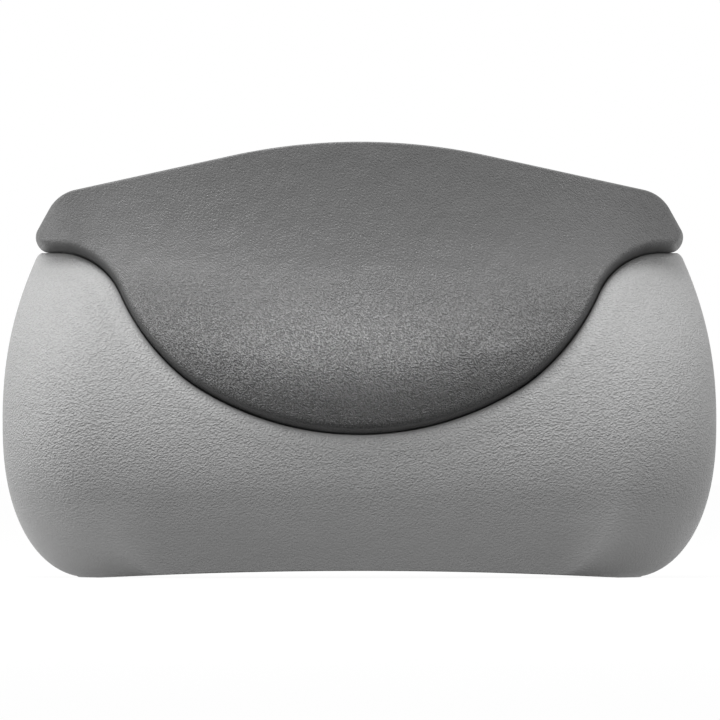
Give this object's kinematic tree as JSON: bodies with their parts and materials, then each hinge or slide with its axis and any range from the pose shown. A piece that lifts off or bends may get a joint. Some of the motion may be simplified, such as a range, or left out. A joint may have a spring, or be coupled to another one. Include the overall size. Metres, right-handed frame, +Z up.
{
  "type": "bath pillow",
  "caption": "Two-tone moulded foam bath headrest: dark head cushion with a neck lip over a pale roll, on a back plate with swivelling suction cups.",
  "frame": {"origin": "middle of the footprint, suction cups included, at the level of the foot edge", "axes": "+X across the width, -Y towards the bather, +Y towards the bath wall, +Z up"},
  "size_m": [0.2692, 0.1027, 0.164],
  "materials": {
    "head_foam": "matt integral-skin foam with leather grain",
    "base_foam": "matt integral-skin foam with leather grain",
    "carrier_plastic": "moulded, matt",
    "plate_plastic": "fine spark texture",
    "cup_vinyl": "smooth soft vinyl",
    "steel": "stainless, passivated",
    "brass": "machined"
  },
  "bodies": {
    "root": {"head_cushion": "head_foam", "base_cushion": "base_foam", "head_carrier": "carrier_plastic", "base_carrier": "carrier_plastic", "back_plate": "plate_plastic", "plate_screw_1": "steel", "plate_screw_2": "steel", "plate_screw_3": "steel", "plate_screw_4": "steel", "plate_screw_5": "steel", "plate_screw_6": "steel", "plate_screw_7": "steel", "plate_screw_8": "steel", "threaded_insert_1": "brass", "threaded_insert_2": "brass", "threaded_insert_3": "brass", "threaded_insert_4": "brass", "threaded_insert_5": "brass", "threaded_insert_6": "brass", "threaded_insert_7": "brass", "threaded_insert_8": "brass"},
    "cup_upper_left": {"suction_cup_upper_left": "cup_vinyl"},
    "cup_upper_right": {"suction_cup_upper_right": "cup_vinyl"},
    "cup_lower_left": {"suction_cup_lower_left": "cup_vinyl"},
    "cup_lower_right": {"suction_cup_lower_right": "cup_vinyl"}
  },
  "joints": [
    {"name": "cup_upper_left_swivel", "type": "hinge", "parent": "root", "child": "cup_upper_left", "pos_m": [-0.05, 0.0415, 0.134], "axis": [0, 1, 0], "continuous": true},
    {"name": "cup_upper_right_swivel", "type": "hinge", "parent": "root", "child": "cup_upper_right", "pos_m": [0.05, 0.0415, 0.134], "axis": [0, 1, 0], "continuous": true},
    {"name": "cup_lower_left_swivel", "type": "hinge", "parent": "root", "child": "cup_lower_left", "pos_m": [-0.082, 0.0415, 0.044], "axis": [0, 1, 0], "continuous": true},
    {"name": "cup_lower_right_swivel", "type": "hinge", "parent": "root", "child": "cup_lower_right", "pos_m": [0.082, 0.0415, 0.044], "axis": [0, 1, 0], "continuous": true}
  ]
}
